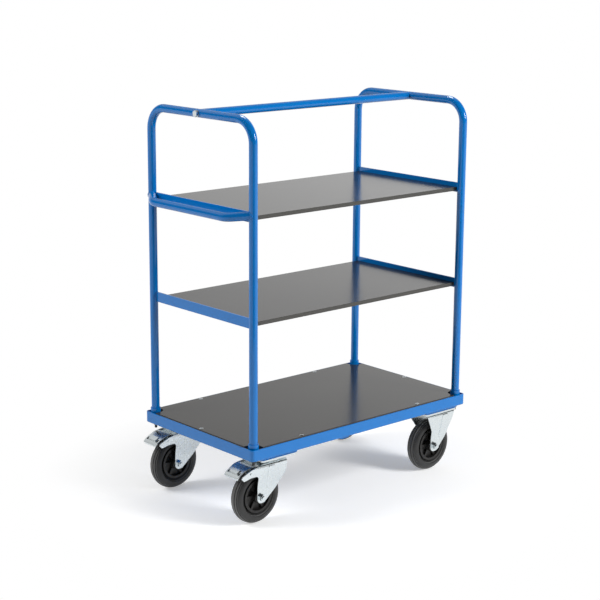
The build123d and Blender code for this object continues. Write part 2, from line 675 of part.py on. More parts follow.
def brake_pedal():
    """Pressed pedal: tread with a raised pad between two slots, a lip at the toe, two cheeks on the pin."""
    half = PEDAL_W / 2
    top = PEDAL_STAND + PEDAL_SHEET
    tread = block((-PEDAL_HEEL, PEDAL_TOE), (-half, half), (PEDAL_STAND, top))
    tread = fillet(tread.edges().filter_by(Axis.Z), PEDAL_SHEET)
    lip_half = half - PEDAL_SHEET
    lip = block((PEDAL_TOE - PEDAL_SHEET, PEDAL_TOE), (-lip_half, lip_half), (top - PEDAL_LIP, top))
    pad_front = PEDAL_TOE - PAD_EDGE
    pad = block((pad_front - PAD_L, pad_front), (-PAD_W / 2, PAD_W / 2), (PEDAL_STAND, top + PAD_RISE))
    pad = fillet(pad.edges().filter_by(Axis.Z), PEDAL_SHEET)
    pad = fillet(pad.faces().sort_by(Axis.Z)[-1].edges(), PAD_RISE / 2)
    pedal = tread.fuse(lip, pad)
    slot_outer = half - PEDAL_SLOT_EDGE
    slot_inner = slot_outer - PEDAL_SLOT_W
    for side in (-1, 1):
        slot_sides = sorted((side * slot_inner, side * slot_outer))
        pedal -= block((pad_front - PEDAL_SLOT_L, pad_front), slot_sides, (0, 2 * top))
        cheek_sides = sorted((side * (half - CHEEK_SHEET), side * half))
        cheek = block((-CHEEK_HALF, CHEEK_HALF), cheek_sides, (0, PEDAL_STAND + PEDAL_SHEET / 2))
        pedal += cheek + rod((0, cheek_sides[0], 0), REARWARD, 2 * CHEEK_HALF, CHEEK_SHEET)
    pedal -= rod((0, -PEDAL_W, 0), REARWARD, PIN_D + 2 * RUN_CLEAR, 2 * PEDAL_W)
    return pedal_frame() * pedal


def pedal_pin():
    rise = (PIVOT_HEIGHT - FORK_FLARE_START) / (FORK_RISE - FORK_FLARE_START)
    half = FORK_OUTER + (FORK_TOP_W / 2 - FORK_OUTER) * rise + PIN_STAND
    return rod((-PIVOT_BACK, -half, PIVOT_HEIGHT), REARWARD, PIN_D, 2 * half)


def brake_shoe():
    """Block under the pedal, ahead of its pin, hollowed to the tyre."""
    body = block((PIN_D, PIN_D + SHOE_L), (-SHOE_W / 2, SHOE_W / 2), (-WHEEL_R / 2, PEDAL_STAND))
    return pedal_frame() * body - rod((0, -SHOE_W, 0), REARWARD, WHEEL_D + 2 * SHOE_GAP, 2 * SHOE_W)


# Writing the nodes


def save_at(place, name, *solids):
    save(name, *[place * solid for solid in solids])


def save_wheel(place, name):
    save_at(place, f"{name}_tyre", tyre())
    save_at(place, f"{name}_rim", rim())
    save_at(place, f"{name}_bearing", bearing())
    save_at(place, f"{name}_axle", *axle())


def save_swivel_caster(name, y):
    place = Pos(KING_X - TRAIL, y, WHEEL_R)
    save_wheel(place, name)
    save_at(place, f"{name}_plate", caster_plate(TRAIL) - rod((TRAIL, 0, 0), UP, KING_PIN_D, FORK_TOP))
    save_at(place, f"{name}_king_pin", king_pin())
    save_at(place, f"{name}_balls", *ball_ring())
    save_at(place, f"{name}_dust_ring", dust_ring())
    save_at(place, f"{name}_fork", swivel_fork())
    save_at(place, f"{name}_brake_pedal", brake_pedal())
    save_at(place, f"{name}_pedal_pin", pedal_pin())
    save_at(place, f"{name}_brake_shoe", brake_shoe())


def save_fixed_caster(name, y):
    place = Pos(FIXED_X - FIXED_OFFSET, y, WHEEL_R)
    save_wheel(place, name)
    save_at(place, f"{name}_plate", caster_plate(FIXED_OFFSET))
    save_at(place, f"{name}_bracket", fixed_bracket())


def caster_bolts():
    """Bolts from above, through the mount plates into the casters. The outer ones also hold the rail."""
    pieces = []
    for x, y in caster_bolt_places():
        under_rail = abs(y) + WASHER_D / 2 > FRAME_W / 2 - RAIL_LEDGE
        seat = RAIL_BOTTOM + RAIL_SHEET if under_rail else RAIL_BOTTOM
        pieces += hex_bolt((x, y, seat), DOWN, seat - PLATE_BOTTOM, BOLT_D, BOLT_FLATS, BOLT_HEAD, WASHER_D)
    return pieces


os.makedirs("parts", exist_ok=True)
for rail_name, rail_solid in rails().items():
    save(rail_name, rail_solid)
save("swivel_mount_plate", cross_bar(KING_X, MOUNT_WIDTH))
save("fixed_mount_plate", cross_bar(FIXED_X, MOUNT_WIDTH))
save("cross_strap", cross_bar(HANDLE_END + STRAP_INSET, STRAP_WIDTH))
save("deck_board", deck_board())
save("deck_screws", *deck_screws())
save("corner_sockets", *corner_sockets())
save("gable_bolts", *gable_bolts())
save("handle_gable", gable(HANDLE_END))
save("far_gable", gable(FAR_END))
save("tie_bar", tie_bar())
save("tie_bar_bolts", *tie_bar_bolts())
save("push_handle", push_handle())
for level, shelf_top in (("middle", MIDDLE_SHELF_HEIGHT), ("upper", UPPER_SHELF_HEIGHT)):
    save(f"{level}_shelf", shelf(shelf_top))
    save(f"handle_{level}_support", shelf_support(HANDLE_END, 1, shelf_top))
    save(f"far_{level}_support", shelf_support(FAR_END, -1, shelf_top))
save("shelf_screws", *shelf_screws())
save("caster_bolts", *caster_bolts())
for side_name, wheel_y in (("front", -WHEEL_Y), ("rear", WHEEL_Y)):
    save_swivel_caster(f"{side_name}_swivel", wheel_y)
    save_fixed_caster(f"{side_name}_fixed", wheel_y)
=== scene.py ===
import json
import math

import bmesh
import bpy
from mathutils import Matrix, Vector

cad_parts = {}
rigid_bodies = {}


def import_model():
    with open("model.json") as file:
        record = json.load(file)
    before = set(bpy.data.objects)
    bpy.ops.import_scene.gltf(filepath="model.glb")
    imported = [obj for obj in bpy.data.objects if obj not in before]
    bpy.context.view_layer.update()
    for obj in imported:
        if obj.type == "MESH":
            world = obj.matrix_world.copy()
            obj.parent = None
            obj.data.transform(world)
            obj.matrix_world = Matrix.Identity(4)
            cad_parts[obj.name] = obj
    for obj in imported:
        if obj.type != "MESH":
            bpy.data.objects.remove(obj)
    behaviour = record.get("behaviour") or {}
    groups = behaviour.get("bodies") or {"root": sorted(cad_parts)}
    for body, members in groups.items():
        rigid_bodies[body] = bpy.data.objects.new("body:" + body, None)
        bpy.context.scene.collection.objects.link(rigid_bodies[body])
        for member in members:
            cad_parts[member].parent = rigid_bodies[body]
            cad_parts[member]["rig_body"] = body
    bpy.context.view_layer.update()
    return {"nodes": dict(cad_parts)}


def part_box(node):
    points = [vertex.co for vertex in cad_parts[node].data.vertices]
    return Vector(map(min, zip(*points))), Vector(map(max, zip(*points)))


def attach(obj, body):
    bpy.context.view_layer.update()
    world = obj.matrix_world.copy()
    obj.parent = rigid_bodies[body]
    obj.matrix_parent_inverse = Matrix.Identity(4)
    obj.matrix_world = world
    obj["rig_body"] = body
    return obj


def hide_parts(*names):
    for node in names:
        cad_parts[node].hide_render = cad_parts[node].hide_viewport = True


# Finishes and fine pieces of a shelf trolley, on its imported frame.
# Metres, +Z up, the push handle towards -X and the front towards -Y.

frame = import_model()
cad = frame["nodes"]

SIDES = ("front", "rear")
WHEELS = [f"{side}_{kind}" for side in SIDES for kind in ("swivel", "fixed")]
GABLES = ("handle_gable", "far_gable")
BOARDS = ("deck_board", "middle_shelf", "upper_shelf")
SUPPORTS = [f"{end}_{level}_support" for end in ("handle", "far") for level in ("middle", "upper")]
UNDERSIDE_BARS = ("swivel_mount_plate", "fixed_mount_plate", "cross_strap")
TUBE_R = 0.0125
TOUCHING = 1e-6  # points nearer than this are the same point
WHITE = (1, 1, 1, 1)


# Node trees


MIX_SOCKETS = {"FLOAT": (0, 2, 3), "RGBA": (0, 6, 7)}  # places of share, low and high on a Mix node
MIX_RESULT = {"FLOAT": 0, "RGBA": 2}


def add(tree, kind, settings=None, **inputs):
    """New node. Inputs are values, or the sockets that feed them, named with _ for a space."""
    node = tree.nodes.new(kind)
    for name, value in (settings or {}).items():
        setattr(node, name, value)
    for name, value in inputs.items():
        feed(tree, node.inputs[name.replace("_", " ")], value)
    return node


def feed(tree, socket, value):
    """Link a socket to the one that feeds it, or set its value."""
    if isinstance(value, bpy.types.NodeSocket):
        tree.links.new(value, socket)
    else:
        socket.default_value = value


def reckoned(tree, operation, first, second=0.0):
    """Result of one step of arithmetic."""
    node = add(tree, "ShaderNodeMath", {"operation": operation})
    feed(tree, node.inputs[0], first)
    feed(tree, node.inputs[1], second)
    return node.outputs[0]


def vector_of(tree, x, y, z):
    return add(tree, "ShaderNodeCombineXYZ", X=x, Y=y, Z=z).outputs["Vector"]


def axis_of(tree, vector, axis):
    return add(tree, "ShaderNodeSeparateXYZ", Vector=vector).outputs[axis]


def spread(tree, value, low, high, start=0.0, end=1.0):
    """Value from start to end, laid out from low to high."""
    sockets = {"From Min": start, "From Max": end, "To Min": low, "To Max": high}
    node = add(tree, "ShaderNodeMapRange", Value=value)
    for name, number in sockets.items():
        node.inputs[name].default_value = number
    return node.outputs["Result"]


def mixed(tree, share, low, high, kind="FLOAT"):
    """Number that goes from low to high with a share."""
    node = add(tree, "ShaderNodeMix", {"data_type": kind})
    for place, value in zip(MIX_SOCKETS[kind], (share, low, high)):
        feed(tree, node.inputs[place], value)
    return node.outputs[MIX_RESULT[kind]]


def tint(tree, share, low, high):
    """Colour that goes from low to high with a share."""
    return mixed(tree, share, low, high, kind="RGBA")


# Finishes


PLY = 0.0024  # thickness of two plies of the boards
EDGE_TURN = (0.45, 0.75)  # a board goes from edge to face between these upward shares of its normal
WALL_TURN = (0.5, 0.72)  # a tyre goes from tread to wall between these sideways shares of its normal


def paint(red, green, blue):
    """Linear colour from the 0 to 255 values of a colour chart, by the sRGB curve."""
    shares = [value / 255 for value in (red, green, blue)]
    linear = [s / 12.92 if s <= 0.04045 else ((s + 0.055) / 1.055) ** 2.4 for s in shares]
    return (*linear, 1.0)


def new_finish(name, **sockets):
    """Material, its node tree and its shader, with the values that are the same all over."""
    material = bpy.data.materials.new(name)
    material.use_nodes = True
    shader = material.node_tree.nodes["Principled BSDF"]
    for socket, value in sockets.items():
        shader.inputs[socket.replace("_", " ")].default_value = value
    return material, material.node_tree, shader


def lay_on(tree, shader, colour, roughness, normal):
    feed(tree, shader.inputs["Base Color"], colour)
    feed(tree, shader.inputs["Roughness"], roughness)
    feed(tree, shader.inputs["Normal"], normal)


def patches(tree, size, detail=2.0):
    """Soft random patches of about that size, from 0 to 1."""
    place = add(tree, "ShaderNodeTexCoord").outputs["Object"]
    return add(tree, "ShaderNodeTexNoise", Vector=place, Scale=1 / size, Detail=detail).outputs["Fac"]


def cells(tree, size):
    """Random value for each crystal of about that size."""
    place = add(tree, "ShaderNodeTexCoord").outputs["Object"]
    crystal = add(tree, "ShaderNodeTexVoronoi", Vector=place, Scale=1 / size).outputs["Color"]
    return add(tree, "ShaderNodeSeparateColor", Color=crystal).outputs["Red"]


def relief(tree, height, depth):
    """Normal of a surface that a height from 0 to 1 lifts by a depth."""
    return add(tree, "ShaderNodeBump", Height=height, Distance=depth, Strength=1.0).outputs["Normal"]


def powder_coat():
    """Glossy blue powder coat with a fine orange peel."""
    material, tree, shader = new_finish("powder_coat", IOR=1.5)
    cloud = patches(tree, size=0.08)
    peel = patches(tree, size=0.0016, detail=1.0)
    blue = tint(tree, cloud, low=paint(2, 106, 181), high=paint(6, 112, 188))
    rough = spread(tree, peel, low=0.07, high=0.13)
    lay_on(tree, shader, blue, rough, relief(tree, peel, depth=0.00001))
    return material


def film_board():
    """Dark film-faced board, smooth on its faces, with sealed plies at its edges."""
    material, tree, shader = new_finish("film_board", IOR=1.5)
    cloud = patches(tree, size=0.12, detail=3.0)
    fleck = patches(tree, size=0.0012, detail=2.0)
    film = tint(tree, cloud, low=paint(42, 40, 37), high=paint(47, 45, 42))
    place = add(tree, "ShaderNodeTexCoord").outputs
    height = axis_of(tree, place["Object"], "Z")
    wave = reckoned(tree, "SINE", spread(tree, height, low=0.0, high=math.tau / PLY))
    ply = spread(tree, wave, low=0.0, high=1.0, start=-1.0)
    plies = tint(tree, ply, low=paint(66, 65, 63), high=paint(82, 81, 78))
    upward = reckoned(tree, "ABSOLUTE", axis_of(tree, place["Normal"], "Z"))
    face = spread(tree, upward, 0.0, 1.0, *EDGE_TURN)
    rough = mixed(tree, face, low=0.7, high=spread(tree, fleck, low=0.16, high=0.23))
    lay_on(tree, shader, tint(tree, face, low=plies, high=film), rough, relief(tree, fleck, depth=0.000006))
    return material


def bright_zinc():
    """Zinc plate, slightly blue, with faint crystals."""
    material, tree, shader = new_finish("bright_zinc", Metallic=1.0)
    crystal = cells(tree, size=0.0022)
    cloud = patches(tree, size=0.02, detail=2.0)
    mottle = tint(tree, cloud, low=paint(214, 222, 225), high=paint(228, 234, 235))
    shade = spread(tree, crystal, low=0.985, high=1.0)
    plate = add(tree, "ShaderNodeVectorMath", {"operation": "SCALE"}, Vector=mottle, Scale=shade)
    grain = relief(tree, patches(tree, size=0.0025), depth=0.000004)
    lay_on(tree, shader, plate.outputs["Vector"], spread(tree, cloud, low=0.22, high=0.32), grain)
    return material


def dark_bolt_steel():
    """Blackened steel with a film of oil."""
    material, tree, shader = new_finish("dark_bolt_steel", Metallic=0.6)
    cloud = patches(tree, size=0.004, detail=4.0)
    steel = tint(tree, cloud, low=paint(46, 46, 47), high=paint(64, 63, 62))
    grain = relief(tree, patches(tree, size=0.0008), depth=0.00002)
    lay_on(tree, shader, steel, spread(tree, cloud, low=0.35, high=0.5), grain)
    return material


def tyre_rubber():
    """Black rubber, darker on its walls and lighter on the tread, partly from dust and partly from a
    painted sheen of light from the left.
    """
    material, tree, shader = new_finish("tyre_rubber", IOR=1.5)
    bloom = patches(tree, size=0.025, detail=5.0)
    grain = patches(tree, size=0.0009, detail=2.0)
    wall = tint(tree, bloom, low=paint(39, 39, 39), high=paint(46, 46, 46))
    # the tread's lighter colour is partly dust and partly painted sheen, standing in for light that falls
    # on the tread from the left
    tread = tint(tree, bloom, low=paint(90, 90, 90), high=paint(100, 99, 98))
    turned = add(tree, "ShaderNodeTexCoord").outputs["Normal"]
    sideways = reckoned(tree, "ABSOLUTE", axis_of(tree, turned, "Y"))
    # share of the tread's dust and painted sheen, rising where the normal turns away from the wheel's axis
    dust_and_sheen = spread(tree, sideways, 1.0, 0.0, *WALL_TURN)
    rough = spread(tree, bloom, low=0.42, high=0.55)
    lay_on(tree, shader, tint(tree, dust_and_sheen, low=wall, high=tread), rough, relief(tree, grain, depth=0.00003))
    return material


def rim_plastic():
    """Black moulded plastic with a fine spark texture."""
    material, tree, shader = new_finish("rim_plastic", IOR=1.46)
    cloud = patches(tree, size=0.03)
    spark = patches(tree, size=0.0007, detail=2.0)
    plastic = tint(tree, cloud, low=paint(27, 26, 26), high=paint(34, 33, 32))
    rough = spread(tree, spark, low=0.34, high=0.48)
    lay_on(tree, shader, plastic, rough, relief(tree, spark, depth=0.00002))
    return material


def shoe_rubber():
    """Hard grey-black rubber."""
    material, tree, shader = new_finish("shoe_rubber", IOR=1.45)
    cloud = patches(tree, size=0.01, detail=3.0)
    rubber = tint(tree, cloud, low=paint(38, 38, 38), high=paint(54, 53, 52))
    grain = relief(tree, patches(tree, size=0.001), depth=0.00005)
    lay_on(tree, shader, rubber, spread(tree, cloud, low=0.60, high=0.75), grain)
    return material


FINISHES = {
    "blue_powder_coat": powder_coat(),
    "dark_board": film_board(),
    "zinc": bright_zinc(),
    "black_tyre": tyre_rubber(),
    "dark_rim": rim_plastic(),
    "brake_rubber": shoe_rubber(),
}


def dress_cad():
    """Give every CAD node the finish of its slot, and the gable bolts their own."""
    for node in cad.values():
        node.data.materials[0] = FINISHES[node.data.materials[0].name]
    cad["gable_bolts"].data.materials[0] = dark_bolt_steel()


def slot_of(node):
    """Slot whose finish a dressed CAD node wears."""
    return next(slot for slot, finish in FINISHES.items() if finish == cad[node].data.materials[0])


# Meshes


SAME_POINT = 0.00005  # points nearer than this are one point of a softened piece
SAME_PLANE = math.radians(0.5)  # triangles that turn less than this are one face of it
CREASE = math.radians(30)  # shading breaks where faces turn more than this
EDGE_STEPS = 2  # of a rounded edge
BOARD_EDGE = 0.0008  # width of the rounded edges, here and below
SHEET_EDGE = 0.0007
RIM_EDGE = 0.0010
BRAKE_EDGE = 0.0005
EDGE_LIMIT = math.radians(50)  # edges that turn more than this are rounded
SHEET_LIMIT = math.radians(40)


def piece(name, mesh, body, slot, *stands_for):
    """Object of a finished mesh that rides on a body and stands for CAD nodes."""
    obj = bpy.data.objects.new(name, mesh)
    bpy.context.scene.collection.objects.link(obj)
    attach(obj, body)
    if stands_for:
        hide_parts(*stands_for)
    return obj


def softened(node, width, limit=EDGE_LIMIT, reshape=None, cuts=()):
    """Piece for a CAD node: its mesh, cut by planes and moved point by point, with rounded edges."""
    source = cad[node]
    shape = bmesh.new()
    shape.from_mesh(source.data)
    bmesh.ops.remove_doubles(shape, verts=shape.verts, dist=SAME_POINT)
    bmesh.ops.dissolve_limit(shape, angle_limit=SAME_PLANE, verts=shape.verts, edges=shape.edges)
    for place, normal in cuts:
        everything = shape.verts[:] + shape.edges[:] + shape.faces[:]
        bmesh.ops.bisect_plane(shape, geom=everything, dist=TOUCHING, plane_co=place, plane_no=normal)
    shape.verts.index_update()
    points = [vertex.co.copy() for vertex in shape.verts]
    if reshape:
        points = [reshape(point) for point in points]
    faces = [[vertex.index for vertex in face.verts] for face in shape.faces]
    shape.free()
    mesh = bpy.data.meshes.new(f"{node}_soft")
    mesh.from_pydata(points, [], faces)
    mesh.materials.append(source.data.materials[0])
    mesh.shade_smooth()
    mesh.set_sharp_from_angle(angle=CREASE)
    obj = piece(f"{node}_soft", mesh, source["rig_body"], slot_of(node), node)
    bevel = obj.modifiers.new("edges", "BEVEL")
    bevel.width = width
    bevel.segments = EDGE_STEPS
    bevel.limit_method = "ANGLE"
    bevel.angle_limit = limit
    bevel.harden_normals = True
    bevel.use_clamp_overlap = False


def lathe(profile, centre, steps):
    """Closed mesh from a section of (radius, side) points, turned about the Y axis through a centre."""
    shape = bmesh.new()
    rings = []
    for step in range(steps):
        turn = math.tau * step / steps
        across, up = math.cos(turn), math.sin(turn)
        rings.append([shape.verts.new((r * across, side, r * up)) for r, side in profile])
    for ring, after in zip(rings, rings[1:] + rings[:1]):
        for i in range(len(profile)):
            j = (i + 1) % len(profile)
            shape.faces.new((ring[i], ring[j], after[j], after[i]))
    bmesh.ops.recalc_face_normals(shape, faces=shape.faces)
    mesh = bpy.data.meshes.new("turned")
    shape.to_mesh(mesh)
    shape.free()
    mesh.transform(Matrix.Translation(centre))
    mesh.shade_smooth()
    return mesh


def make_boards():
    for board in BOARDS:
        softened(board, width=BOARD_EDGE)


def make_pressings():
    """Forks and brackets, pressed from sheet."""
    for side in SIDES:
        for pressing in (f"{side}_swivel_fork", f"{side}_fixed_bracket"):
            softened(pressing, width=SHEET_EDGE, limit=SHEET_LIMIT)


# Tyres and rims


TYRE_SEAT = 0.0515  # radius on which the tyre sits, at the edge of the rim's face
TYRE_ARC_MIDDLE = 0.0637  # radius of the middle of the section's arc
TYRE_ARC_R = 0.02028
TYRE_ARC_END = math.radians(98)
TYRE_ARC_STEPS = 96
TYRE_TURN_STEPS = 128
TREAD_GROOVE = (math.radians(17), 0.0028, math.radians(4.5))  # place on the arc, depth, half width
SHOULDER_GROOVE = (math.radians(41), 0.0022, math.radians(5))
BEAD_LIP = (0.0592, 0.0178)  # radius and half width
BEAD_LIP_DROP = 0.0006  # of the lip's radius on its way into the groove
BEAD_GROOVE_FLOOR = 0.0128  # half width at the floor of the groove beside the rim
RIM_EDGE_SLACK = 0.0005  # points this near to the rim's edge belong to it


def groove_depth(angle, place, depth, half_width):
    """Depth of a rounded groove at an angle on the tyre's arc."""
    away = abs(abs(angle) - place) / half_width
    return depth * (1 + math.cos(math.pi * away)) / 2 if away < 1 else 0.0


def tyre_section():
    """Section of the tyre: the arc of its tread and walls with its grooves, and its seat on the rim."""
    section = []
    for step in range(TYRE_ARC_STEPS + 1):
        angle = TYRE_ARC_END * (2 * step / TYRE_ARC_STEPS - 1)
        radius = TYRE_ARC_R - sum(groove_depth(angle, *g) for g in (TREAD_GROOVE, SHOULDER_GROOVE))
        section.append((TYRE_ARC_MIDDLE + radius * math.cos(angle), radius * math.sin(angle)))
    lip, half = BEAD_LIP
    right = [(lip, half), (lip - BEAD_LIP_DROP, BEAD_GROOVE_FLOOR), (TYRE_SEAT, BEAD_GROOVE_FLOOR)]
    return section + right + [(radius, -side) for radius, side in reversed(right)]


def make_tyres():
    for wheel in WHEELS:
        node = f"{wheel}_tyre"
        low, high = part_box(node)
        mesh = lathe(tyre_section(), (low + high) / 2, steps=TYRE_TURN_STEPS)
        mesh.materials.append(FINISHES["black_tyre"])
        piece(f"{node}_grooved", mesh, cad[node]["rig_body"], "black_tyre", node)


def make_rims():
    """Rims whose edge is drawn in to the tyre's seat, so that a groove runs round each face."""
    for wheel in WHEELS:
        low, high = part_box(f"{wheel}_rim")
        middle, edge = (low + high) / 2, (high.x - low.x) / 2

        def drawn_in(point, middle=middle, edge=edge):
            arm = Vector((point.x - middle.x, 0, point.z - middle.z))
            if arm.length < edge - RIM_EDGE_SLACK:
                return point
            return point - arm * (1 - TYRE_SEAT / arm.length)

        softened(f"{wheel}_rim", width=RIM_EDGE, reshape=drawn_in)


# Brake pedals


PEDAL_PIN = Vector((-0.047, 0, 0.083))  # from the axle
PEDAL_TILT = math.radians(26)
PEDAL_TOE = Vector((-math.cos(PEDAL_TILT), 0, -math.sin(PEDAL_TILT)))
PEDAL_UP = Vector((-math.sin(PEDAL_TILT), 0, math.cos(PEDAL_TILT)))
PEDAL_UNDER = 0.010  # lower face of the pedal's sheet above its pin
PEDAL_SLACK = 0.0002  # points this far below that face belong to it
PEDAL_LIP = 0.039  # from here to the toe the sheet is folded down
PEDAL_REACH = (-0.022, 0.043)  # heel and toe from the pin
BOW_CROWN = 0.015  # where the bowed sheet stands highest, from the pin
BOW_LIFT = 0.0045
BOW = 5.8  # drop per metre squared away from the crown
BOW_STEP = 0.0026  # between the cuts at which the sheet bends, none of which meets the pin's bore


def make_pedals():
    """Pedals whose sheet is bowed from a level heel to a steep toe, with the shoes that meet it."""
    for side in SIDES:
        low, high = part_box(f"{side}_swivel_tyre")
        pin = (low + high) / 2 + PEDAL_PIN

        def bowed(point, pin=pin):
            along, above = (point - pin).dot(PEDAL_TOE), (point - pin).dot(PEDAL_UP)
            if above < PEDAL_UNDER - PEDAL_SLACK and along < PEDAL_LIP:
                return point
            return point + PEDAL_UP * (BOW_LIFT - BOW * (along - BOW_CROWN) ** 2)

        heel, toe = PEDAL_REACH
        steps = int((toe - heel) / BOW_STEP)
        cuts = [(pin + PEDAL_TOE * (heel + BOW_STEP * step), PEDAL_TOE) for step in range(1, steps)]
        pedal, shoe = f"{side}_swivel_brake_pedal", f"{side}_swivel_brake_shoe"
        softened(pedal, width=BRAKE_EDGE, limit=SHEET_LIMIT, reshape=bowed, cuts=cuts)
        softened(shoe, width=BRAKE_EDGE, reshape=bowed, cuts=cuts)


# Screws and welds, grown by geometry nodes


SCREW_HEAD = {"Head Radius": 0.0065, "Crown": 0.0013, "Seed": 3}
SCREW_RECESS = {"Recess Span": 0.0064, "Recess Width": 0.0013, "Recess Depth": 0.0009}
RANDOM_HIGH, RANDOM_RESULT = 3, 1  # places of the upper limit and the number on a Random Value node
BEAD_R = 0.0020
RIPPLE_STEPS = 6.0  # points along each ripple of a weld


def new_tree(name, sizes):
    """Geometry tree with a named input for each size. Returns it with its input and output sockets."""
    tree = bpy.data.node_groups.new(name, "GeometryNodeTree")
    tree.interface.new_socket("Geometry", in_out="INPUT", socket_type="NodeSocketGeometry")
    for label, start in sizes.items():
        kind = "NodeSocketInt" if isinstance(start, int) else "NodeSocketFloat"
        tree.interface.new_socket(label, in_out="INPUT", socket_type=kind).default_value = start
    tree.interface.new_socket("Geometry", in_out="OUTPUT", socket_type="NodeSocketGeometry")
    return tree, tree.nodes.new("NodeGroupInput").outputs, tree.nodes.new("NodeGroupOutput").inputs


def end_tree(tree, geometry, finish, output):
    """Make a tree's instances real and give them their finish."""
    real = add(tree, "GeometryNodeRealizeInstances", Geometry=geometry).outputs["Geometry"]
    dressed = add(tree, "GeometryNodeSetMaterial", Geometry=real, Material=FINISHES[finish])
    feed(tree, output["Geometry"], dressed.outputs["Geometry"])
    return tree


def screw_tree():
    """Domed screws with a cross recess on points, heads up, each turned by chance."""
    tree, given, output = new_tree("cross_screws", SCREW_HEAD | SCREW_RECESS)
    ball = add(tree, "GeometryNodeMeshUVSphere", Segments=48, Rings=24, Radius=given["Head Radius"])
    dome = vector_of(tree, 1, 1, reckoned(tree, "DIVIDE", given["Crown"], given["Head Radius"]))
    head = add(tree, "GeometryNodeTransform", Geometry=ball.outputs["Mesh"], Scale=dome).outputs["Geometry"]
    bar_height = reckoned(tree, "MULTIPLY", given["Recess Depth"], 2.0)  # half of it is above the crown
    top = vector_of(tree, 0, 0, given["Crown"])
    for x, y in (("Recess Span", "Recess Width"), ("Recess Width", "Recess Span")):
        bar = add(tree, "GeometryNodeMeshCube", Size=vector_of(tree, given[x], given[y], bar_height))
        raised = add(tree, "GeometryNodeTransform", Geometry=bar.outputs["Mesh"], Translation=top)
        cut = add(tree, "GeometryNodeMeshBoolean", {"operation": "DIFFERENCE", "solver": "EXACT"})
        feed(tree, cut.inputs["Mesh 1"], head)
        feed(tree, cut.inputs["Mesh 2"], raised.outputs["Geometry"])
        head = cut.outputs["Mesh"]
    turn = add(tree, "FunctionNodeRandomValue", {"data_type": "FLOAT"}, Seed=given["Seed"])
    feed(tree, turn.inputs[RANDOM_HIGH], math.pi)
    spin = vector_of(tree, 0, 0, turn.outputs[RANDOM_RESULT])
    places = given["Geometry"]
    screws = add(tree, "GeometryNodeInstanceOnPoints", Points=places, Instance=head, Rotation=spin)
    return end_tree(tree, screws.outputs["Instances"], "zinc", output)


def bead_tree():
    """Rippled weld bead along an edge path."""
    tree, given, output = new_tree("weld_bead", {"Bead Radius": BEAD_R, "Ripple": 0.14, "Pitch": 0.0035})
    path = add(tree, "GeometryNodeMeshToCurve", Mesh=given["Geometry"]).outputs["Curve"]
    step = reckoned(tree, "DIVIDE", given["Pitch"], RIPPLE_STEPS)
    even = add(tree, "GeometryNodeResampleCurve", {"mode": "LENGTH"}, Curve=path, Length=step)
    along = add(tree, "GeometryNodeSplineParameter").outputs["Length"]
    waves = reckoned(tree, "DIVIDE", along, given["Pitch"])
    wave = reckoned(tree, "SINE", reckoned(tree, "MULTIPLY", waves, math.tau))
    swell = reckoned(tree, "ADD", 1.0, reckoned(tree, "MULTIPLY", wave, given["Ripple"]))
    radius = reckoned(tree, "MULTIPLY", swell, given["Bead Radius"])
    round_section = add(tree, "GeometryNodeCurvePrimitiveCircle", Resolution=10, Radius=1.0)
    bead = add(tree, "GeometryNodeCurveToMesh", Curve=even.outputs["Curve"], Scale=radius, Fill_Caps=True)
    feed(tree, bead.inputs["Profile Curve"], round_section.outputs["Curve"])
    smooth = add(tree, "GeometryNodeSetShadeSmooth", Geometry=bead.outputs["Mesh"])
    return end_tree(tree, smooth.outputs["Geometry"], "blue_powder_coat", output)


def grown(name, seed_mesh, tree, **sizes):
    """Plain mesh that a tree grows from a seed mesh. Sizes are the tree's inputs, in small letters."""
    obj = bpy.data.objects.new(name, seed_mesh)
    bpy.context.scene.collection.objects.link(obj)
    modifier = obj.modifiers.new(tree.name, "NODES")
    modifier.node_group = tree
    for item in tree.interface.items_tree:
        size = sizes.get(item.name.replace(" ", "_").lower())
        if size is not None:
            modifier[item.identifier] = size
    graph = bpy.context.evaluated_depsgraph_get()
    mesh = bpy.data.meshes.new_from_object(obj.evaluated_get(graph), depsgraph=graph)
    bpy.data.objects.remove(obj)
    return mesh


def island_middles(node):
    """Middle of each separate solid of a CAD node, seen from above."""
    shape = bmesh.new()
    shape.from_mesh(cad[node].data)
    bmesh.ops.remove_doubles(shape, verts=shape.verts, dist=TOUCHING)
    left, middles = set(shape.verts), []
    while left:
        island, edge = set(), {left.pop()}
        while edge:
            island |= edge
            edge = {e.other_vert(v) for v in edge for e in v.link_edges} - island
        left -= island
        spots = [v.co for v in island]
        middles.append(tuple((min(c[i] for c in spots) + max(c[i] for c in spots)) / 2 for i in (0, 1)))
    shape.free()
    return sorted((round(x, 6), round(y, 6)) for x, y in middles)


def make_deck_screws(tree):
    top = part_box("deck_board")[1].z
    seeds = bpy.data.meshes.new("deck_screw_places")
    seeds.from_pydata([(x, y, top) for x, y in island_middles("deck_screws")], [], [])
    mesh = grown("deck_screws_grown", seeds, tree)
    mesh.shade_smooth()
    mesh.set_sharp_from_angle(angle=CREASE)
    piece("deck_screws_cross", mesh, "trolley", "zinc", "deck_screws")


ANGLE_T = 0.004  # sheet of the shelf supports
HANDLE_END_HEIGHT = 0.920  # of the push handle's axis at the uprights
HANDLE_RUN = (-0.046, -0.064, -0.009)  # from the rear upright to the handle's bend
SADDLE_STEPS = 48  # of the weld round an end of the handle
FLANGE_REACH = 0.030  # of the rails' bottom flange over the bars below it


def support_welds():
    """Bead on both sides of each support's flange, where it meets an upright."""
    paths = []
    for support in SUPPORTS:
        low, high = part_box(support)
        outer = low.x if support.startswith("handle") else high.x
        inward = 1 if support.startswith("handle") else -1
        for y in (low.y, high.y):
            for x in (outer, outer + inward * ANGLE_T):
                paths.append([Vector((x, y, low.z)), Vector((x, y, high.z))])
    return paths


